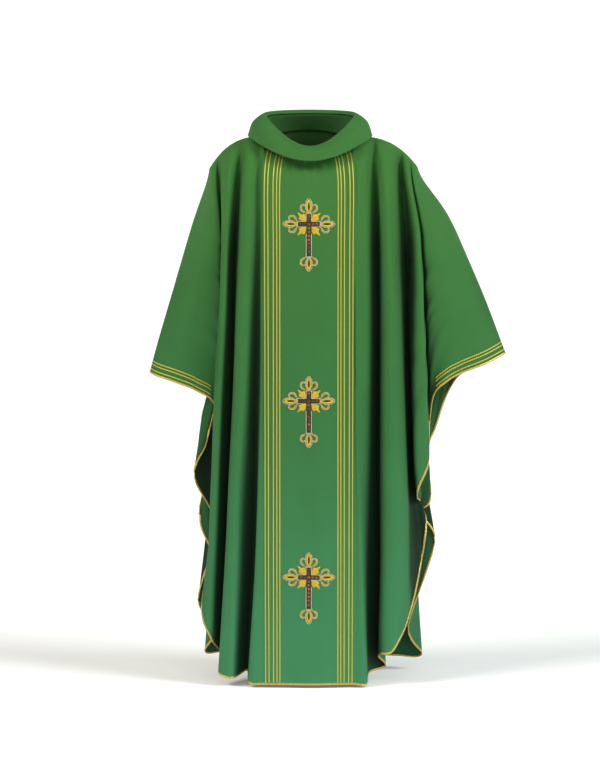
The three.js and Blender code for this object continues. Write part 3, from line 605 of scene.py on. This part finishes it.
# Painted shade: the lining is the collar's crepe in a darker green, as the inside of the collar lies in shade.
shaded_lining_green = crepe("collar_lining_shaded_crepe", *[(0.020, 0.078, 0.017)] * 3, weave=1.6)
turn = 2 * np.pi * np.arange(COLLAR_TURNS) / COLLAR_TURNS
rim = ring(0.110, 0.084, 0.064, 0.064 - 0.069 * dip(turn, 4.6))
fall = ring(0.147, 0.119, 0.100, 0.015 - 0.048 * dip(turn, 5))
base = neckline(turn) + out_of(turn, -0.0032, -0.0025)
over = (rim + fall) / 2 + out_of(turn, 0.007, 0.007)
outer_lines = [rim + out_of(turn, -0.007, -0.004), rim + out_of(turn, 0, 0.002), over, fall]
collar = band_object("collar_roll", outer_lines, 34, COLLAR_THICK, collar_green)
settle(collar, "collar", "collar_outer_layer")
inside = rim + out_of(turn, -0.008, -0.008)
lining = band_object("collar_lining", [inside, (inside + base) / 2, base], 16, 0.002, shaded_lining_green)
settle(lining, "collar", "collar_inner_layer")

canvas, tree, shader = blank("canvas", Roughness=0.9)
place = node(tree, "TexCoord")
threads = node(tree, "TexChecker", {"Vector": place.outputs["Object"], "Scale": 900.0})
threads.inputs["Color1"].default_value = (0.80, 0.77, 0.69, 1)
threads.inputs["Color2"].default_value = (0.70, 0.67, 0.58, 1)
tree.links.new(threads.outputs["Color"], shader.inputs["Base Color"])
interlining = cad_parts["collar_interlining"].data
interlining.materials.clear()
interlining.materials.append(canvas)

# ---------------------------------------------------------------------------------------------------------
# The embroidered crosses, three in front and three behind. Each is worked flat, in x and height from its
# crossing: silver cord round everything, gold satin stitch in the lilies and leaves, and red stones.
CROSSES = [-0.182, -0.605, -1.028]
TOP, SIDE, FOOT = 0.060, 0.062, 0.112  # reach of the arms from the crossing
SHAFT_END = 0.036  # how far short of the arm's tip its shaft stops
STONE_PITCH, STONE, STONE_HIGH = 0.0093, 0.0028, 0.0022
CORD = 0.00075  # half thickness of the silver cord


def smooth_path(points, step=0.0011, closed=False):
    """Points in millimetres made a smooth path with even steps, in metres."""
    points = np.array(points, float) / 1000
    ends = (None, None)
    if closed:
        points = np.concatenate([points, points[:1]])
        ends = (points[-2], points[1])
    fine = through(points, np.linspace(0, len(points) - 1, 40 * len(points)), *ends)
    places = evenly(fine, step)
    index = np.arange(len(fine))
    return np.stack([np.interp(places, index, fine[:, k]) for k in range(2)], -1)


def flat_cord(path, wide, high, twist=0.0022, around=8, taper=False):
    """A cord lying on the flat work: x, height and how far it stands off. Its section is an oval with two
    lobes that turn as they go, as two threads twisted together."""
    steps = np.arange(len(path))
    along = steps * np.linalg.norm(path[1] - path[0])
    way = unit(np.gradient(path, axis=0))
    angle = 2 * np.pi * np.arange(around) / around
    lobes = 1 + 0.14 * np.cos(2 * angle[None] - 2 * np.pi * along[:, None] / twist)
    slim = np.ones(len(path))
    if taper:
        slim = np.clip(np.minimum(steps, len(path) - 1 - steps) / 5, 0.15, 1) ** 0.5
    side = wide * slim[:, None] * lobes * np.cos(angle)
    up = high * (0.75 + slim[:, None] * lobes * np.sin(angle))
    across = np.stack([-way[:, 1], way[:, 0]], -1)
    points = np.concatenate([path[:, None] + across[:, None] * side[..., None], up[..., None]], -1)
    a = (steps[:-1, None] * around + np.arange(around)).ravel()
    b = (steps[:-1, None] * around + (np.arange(around) + 1) % around).ravel()
    faces = [np.stack([a, b, b + around, a + around], -1)]
    ring_0 = np.arange(around)
    next_0 = (ring_0 + 1) % around
    base = (len(path) - 1) * around
    first = 0 * ring_0 + len(path) * around
    faces.append(np.stack([next_0, ring_0, first, first], -1))
    faces.append(np.stack([base + ring_0, base + next_0, first + 1, first + 1], -1))
    points = np.concatenate([points.reshape(-1, 3), points[[0, -1]].mean(1)])
    uv = np.stack([np.repeat(along, around), np.tile(np.arange(around) / around, len(path))], -1)
    uv = np.concatenate([uv, [[0, 0.5], [along[-1], 0.5]]])
    return points, np.concatenate(faces), uv


def satin(inner, outer, high):
    """A padded ring of satin stitch between two closed outlines, highest midway."""
    part = np.array([0, 0, 0.18, 0.5, 0.82, 1, 1])
    rise = np.array([-0.25, 0.3, 0.8, 1, 0.8, 0.3, -0.25]) * high
    count, around = len(inner), len(part)
    flat = inner[:, None] * (1 - part[:, None]) + outer[:, None] * part[:, None]
    points = np.concatenate([flat, np.broadcast_to(rise, (count, around))[..., None]], -1)
    number = np.arange(count * around).reshape(count, around)
    a, b = number, np.roll(number, -1, 0)
    faces = np.stack([a, np.roll(a, -1, 1), np.roll(b, -1, 1), b], -1).reshape(-1, 4)
    along = np.cumsum(np.linalg.norm(np.diff(outer, axis=0, prepend=outer[:1]), axis=-1))
    uv = np.stack(np.broadcast_arrays(along[:, None], part[None] * 0.5), -1).reshape(-1, 2)
    return points.reshape(-1, 3), faces, uv


def mound(outline, high):
    """A closed outline filled with satin stitch that rises to its middle."""
    centre = outline.mean(0)
    part = np.array([1, 1, 0.86, 0.6, 0.3, 0.02])
    rise = np.array([-0.25, 0.25, 0.75, 0.95, 1, 1]) * high
    flat = centre + (outline[None] - centre) * part[:, None, None]
    count, around = len(part), len(outline)
    points = np.concatenate([flat, np.broadcast_to(rise[:, None], (count, around))[..., None]], -1)
    number = np.arange(count * around).reshape(count, around)
    a, b = number[:-1], number[1:]
    faces = np.stack([a, np.roll(a, -1, 1), np.roll(b, -1, 1), b], -1).reshape(-1, 4)
    tip, under = count * around, count * around + 1
    ring_0 = np.arange(around)
    next_0 = (ring_0 + 1) % around
    top = number[-1]
    faces = np.concatenate([
        faces,
        np.stack([top[ring_0], top[next_0], 0 * ring_0 + tip, 0 * ring_0 + tip], -1),
        np.stack([next_0, ring_0, 0 * ring_0 + under, 0 * ring_0 + under], -1),
    ])
    points = np.concatenate([points.reshape(-1, 3), [[*centre, high], [*centre, -0.25 * high]]])
    return points, faces, points[:, :2]


def joined(parts):
    """Several meshes as one."""
    shift = np.cumsum([0] + [len(p) for p, _, _ in parts[:-1]])
    return (
        np.concatenate([p for p, _, _ in parts]),
        np.concatenate([f + s for (_, f, _), s in zip(parts, shift)]),
        np.concatenate([u for _, _, u in parts]),
    )


def turned(path, quarter):
    """A path on the upright arm turned to another arm, by quarters of a turn."""
    cos, sin = [(1, 0), (0, 1), (-1, 0), (0, -1)][quarter]
    return path @ np.array([[cos, sin], [-sin, cos]])


def almond(base, tip, half, count=44):
    """A pointed oval on the arm's middle line, from base to tip."""
    angle = 2 * np.pi * np.arange(count) / count
    y = base + (tip - base) * (1 - np.cos(angle)) / 2
    return np.stack([-half * np.sign(np.sin(angle)) * abs(np.sin(angle)) ** 1.25, y], -1)


# One side petal of a lily and the silver cord round it, in millimetres from the tip of the arm.
CURL = [[8.5, -30.5], [13.5, -29], [17, -25.5], [18, -21], [16.2, -17.2], [13.4, -16.2], [12, -17.8]]
CURL_CORD = [
    [9, -33], [15.2, -31.4], [19.6, -27.2], [20.8, -21], [18.4, -15.6], [14, -13.6], [10.6, -15.4], [10, -18.4],
]


def lily(reach):
    """The end of one arm: a pointed petal with a slit, a curl on either side, and a band across the arm."""
    hole = almond(reach - 0.0285, reach - 0.0100, 0.0024)
    gold = [satin(hole, almond(reach - 0.031, reach - 0.003, 0.0070), 0.0013)]
    silver = [almond(reach - 0.0325, reach - 0.0005, 0.0084, 90)]
    strips = []
    tip = reach * 1000
    for sign in (-1, 1):
        strips.append(smooth_path([[sign * x, y + tip] for x, y in CURL]))
        silver.append(smooth_path([[sign * x, y + tip] for x, y in CURL_CORD]))
    band = [[-9.0, 0.0], [0, 0.6], [9.0, 0.0]]
    strips.append(smooth_path([[x, y + tip - 33.5] for x, y in band]))
    silver.append(smooth_path([[x, y + tip - 36] for x, y in band]))
    slit = mound(almond(reach - 0.0285, reach - 0.0105, 0.0026), 0.0008)
    return gold, silver, strips, slit


# Outline of the leaf between two arms, in millimetres from the crossing.
LEAF = [
    [6.5, 7], [14, 6.6], [21, 8.5], [24.5, 12.5], [22, 16], [27.5, 26.5], [17, 22.5], [13, 24.5], [9, 21], [7, 14],
]
gold_parts, silver_parts, dark_parts = [], [], []
for quarter, reach in enumerate([TOP, SIDE, FOOT, SIDE]):
    gold, silver, strips, slit = lily(reach)
    for kind, (points, faces, uv) in [(gold_parts, gold[0]), (dark_parts, slit)]:
        kind.append((np.concatenate([turned(points[:, :2], quarter), points[:, 2:]], -1), faces, uv))
    for path in strips:
        gold_parts.append(flat_cord(turned(path, quarter), 0.0014, 0.0008, twist=0.004, taper=True))
    for path in silver:
        silver_parts.append(flat_cord(turned(path, quarter), CORD, CORD))
    shaft_from, shaft_to = (0.0235 if quarter == 2 else 0.0075), reach - SHAFT_END
    for sign in (-1, 1):
        line = np.stack([np.full(40, sign * 0.0062), np.linspace(shaft_from, shaft_to, 40)], -1)
        line = line[evenly(line, 0.0011).astype(int)]
        silver_parts.append(flat_cord(turned(line, quarter), CORD, CORD))
    leaf = smooth_path(LEAF, 0.0016, closed=True)[:-1]
    gold_parts.append(mound(turned(leaf, quarter)[::-1], 0.0014))
    arm = np.array([[-0.0055, 0.003], [0.0055, 0.003], [0.0055, shaft_to], [-0.0055, shaft_to]])
    dark_parts.append(mound(turned(arm, quarter), 0.0004 + 0.0001 * quarter))
    knot = 2 * np.pi * np.arange(10) / 10
    dot = np.stack([0.0072 + 0.0014 * np.cos(knot), 0.0068 + 0.0014 * np.sin(knot)], -1)
    silver_parts.append(mound(turned(dot, quarter)[::-1], 0.0026))


def stones():
    """Faceted stones in a line down the shaft and along the arms: each has a table, a slope and a girdle,
    eight sides round."""
    down = [(0, k * STONE_PITCH) for k in range(-7, 3)]
    arms = [(k * STONE_PITCH, 0) for k in (-2, -1, 1, 2)]
    angle = 2 * np.pi * np.arange(8) / 8
    parts = []
    for x, y in down + arms:
        rings = []
        for wide, rise in [(0.92, 0), (1.0, 0.5), (0.86, 0.8), (0.5, 1.0)]:
            level = 0 * angle + rise * STONE_HIGH
            round_x, round_y = x + STONE * wide * np.cos(angle), y + STONE * wide * np.sin(angle)
            rings.append(np.stack([round_x, round_y, level], -1))
        points = np.concatenate(rings + [[[x, y, STONE_HIGH]], [[x, y, 0]]])
        number = np.arange(32).reshape(4, 8)
        a, b = number[:-1], number[1:]
        faces = np.stack([a, np.roll(a, -1, 1), np.roll(b, -1, 1), b], -1).reshape(-1, 4)
        ring_0 = np.arange(8)
        next_0 = (ring_0 + 1) % 8
        lid = np.stack([24 + ring_0, 24 + next_0, 0 * ring_0 + 32, 0 * ring_0 + 32], -1)
        floor_0 = np.stack([next_0, ring_0, 0 * ring_0 + 33, 0 * ring_0 + 33], -1)
        parts.append((points, np.concatenate([faces, lid, floor_0]), points[:, :2]))
    return joined(parts)


def laid(cloth, side, flat, height):
    """Flat work laid on the centre panel: the panel's depth is read from a table by x and height, and the
    work stands off it along the panel's own normal."""
    half = PANEL_STEPS * (PANEL_LINES - 1) // 2
    panel = cloth["middle"][:, cloth["centre"] - half : cloth["centre"] + half + 1]
    if side == "back":
        panel = panel[:, ::-1]
    levels = np.arange(-1.20, -0.10, 0.003)
    table = np.stack([np.interp(-levels, -panel[:, c, 2], panel[:, c, 1]) for c in range(2 * half + 1)], 1)
    pitch = 2 * PANEL_HALF / (2 * half)
    slopes = (np.gradient(table, 0.003, axis=0), np.gradient(table, pitch, axis=1))
    r, c = (flat[:, 1] + height - levels[0]) / 0.003, flat[:, 0] / pitch + half
    r0, c0 = np.floor(r).astype(int), np.floor(c).astype(int)

    def read(values):
        """The table read between its four nearest places."""
        fr, fc = r - r0, c - c0
        low = values[r0, c0] * (1 - fc) + values[r0, c0 + 1] * fc
        high = values[r0 + 1, c0] * (1 - fc) + values[r0 + 1, c0 + 1] * fc
        return low * (1 - fr) + high * fr

    away = -1 if side == "front" else 1
    out = unit(np.stack([-away * read(slopes[1]), away + 0 * r, -away * read(slopes[0])], -1))
    place = np.stack([flat[:, 0], read(table), flat[:, 1] + height], -1)
    return place + out * (THICK / 2 + flat[:, 2:])


silver_thread = gold_thread("silver_cord", (0.66, 0.58, 0.52), (0.34, 0.25, 0.20), 0.0011, 0.36, 0.6)
satin_gold = gold_thread("gold_satin", (0.64, 0.44, 0.018), (0.34, 0.20, 0.006), 0.0007, 0.42, 0.3)
dark_green = crepe("dark_satin", *[(0.010, 0.045, 0.012)] * 3)
ruby, tree, shader = blank("red_stone", Roughness=0.14, IOR=1.5, Specular_IOR_Level=0.4)
place = node(tree, "TexCoord")
patch = node(tree, "TexNoise", {"Vector": place.outputs["Object"], "Scale": 95.0, "Detail": 1.0})
ramp = node(tree, "ValToRGB", {"Fac": patch.outputs["Fac"]})
ramp.color_ramp.elements[0].position, ramp.color_ramp.elements[1].position = 0.4, 0.62
ends_of(ramp.color_ramp, (0.09, 0.004, 0.003), (0.60, 0.035, 0.008))
tree.links.new(ramp.outputs["Color"], shader.inputs["Base Color"])
silver_work, gold_work, stone_work = joined(silver_parts), joined(gold_parts), stones()
dark_work = joined(dark_parts)
for side, cloth in cloths.items():
    for i, height in enumerate(CROSSES):
        name = f"{side}_cross_{i + 1}"
        for (flat, faces, uv), material, part, nodes in [
            (silver_work, silver_thread, "silver_cord", [f"{name}_embroidery"]),
            (gold_work, satin_gold, "gold_satin", []),
            (dark_work, dark_green, "dark_ground", []),
            (stone_work, ruby, "red_stones", [f"{name}_stones"]),
        ]:
            turn_over = faces
            if side == "back":
                three = faces[:, 2] == faces[:, 3]
                turn_over = np.where(three[:, None], faces[:, [1, 0, 2, 2]], faces[:, ::-1])
            slot = "stones" if part == "red_stones" else "embroidery"
            piece = mesh_object(f"{name}_{part}", laid(cloth, side, flat, height), turn_over, material, uv)
            if part == "red_stones":
                piece.data.shade_flat()
            settle(piece, slot, *nodes)

# ---------------------------------------------------------------------------------------------------------
# The studio: a plain pale floor just under the hem, soft light from the front, and the camera.
FLOOR_DROP = 0.006
FLOOR_HALF = 60.0
level = min(corner[2] for corner in cad_box) - FLOOR_DROP
corners = np.array([[-1, -1], [1, -1], [1, 1], [-1, 1]]) * FLOOR_HALF
floor_points = np.column_stack([corners, np.full(4, level)])
pale, tree, shader = blank("pale_floor", Roughness=0.9, Emission_Color=(1, 1, 1, 1), Emission_Strength=0.1)
place = node(tree, "TexCoord")
speck = node(tree, "TexNoise", {"Vector": place.outputs["Object"], "Scale": 3.0})
tint = node(tree, "ValToRGB", {"Fac": speck.outputs["Fac"]})
ends_of(tint.color_ramp, (0.93, 0.93, 0.93), (0.96, 0.96, 0.96))
tree.links.new(tint.outputs["Color"], shader.inputs["Base Color"])
floor = mesh_object("floor", floor_points, np.array([[0, 1, 2, 3]]), pale)

world = bpy.data.worlds.new("studio")
bpy.context.scene.world = world
world.use_nodes = True
tree = world.node_tree
rise = node(tree, "SeparateXYZ", {"Vector": node(tree, "TexCoord").outputs["Generated"]}).outputs["Z"]
glow = eased(tree, rise, 0.16, 0.4, 1.05, 0.12)
tree.links.new(glow, tree.nodes["Background"].inputs["Strength"])
tree.nodes["Background"].inputs["Color"].default_value = (1, 1, 1, 1)


def far_light(name, turn, rise, strength, spread, colour):
    """A broad soft light from far away, given by its turn round from the front and its rise in degrees."""
    light = bpy.data.lights.new(name, "SUN")
    light.energy, light.angle, light.color = strength, np.radians(spread), colour
    made = bpy.data.objects.new(name, light)
    made.rotation_euler = (np.radians(90 - rise), 0, np.radians(turn))
    bpy.context.scene.collection.objects.link(made)


far_light("left_light", -60, 42, 2.0, 26, (1.0, 0.97, 0.86))
far_light("right_light", 64, 34, 2.6, 26, (0.93, 1.0, 0.98))
far_light("front_light", 4, 50, 0.5, 40, (1.0, 1.0, 0.98))

CAMERA_AWAY, CAMERA_PITCH = 20.0, np.radians(8.5)
SEEN_HIGH = 1.85  # height of the picture at the front of the garment
aim = np.array([-0.021, -0.14, -0.578])
camera = bpy.data.cameras.new("camera")
camera.sensor_width = 36
camera.lens = camera.sensor_width * CAMERA_AWAY / SEEN_HIGH
camera.clip_end = 120
camera_object = bpy.data.objects.new("camera", camera)
camera_object.location = aim + CAMERA_AWAY * np.array([0, -np.cos(CAMERA_PITCH), np.sin(CAMERA_PITCH)])
camera_object.rotation_euler = (np.pi / 2 - CAMERA_PITCH, 0, 0)
bpy.context.scene.collection.objects.link(camera_object)
bpy.context.scene.camera = camera_object
bpy.context.scene.view_settings.view_transform = "Standard"
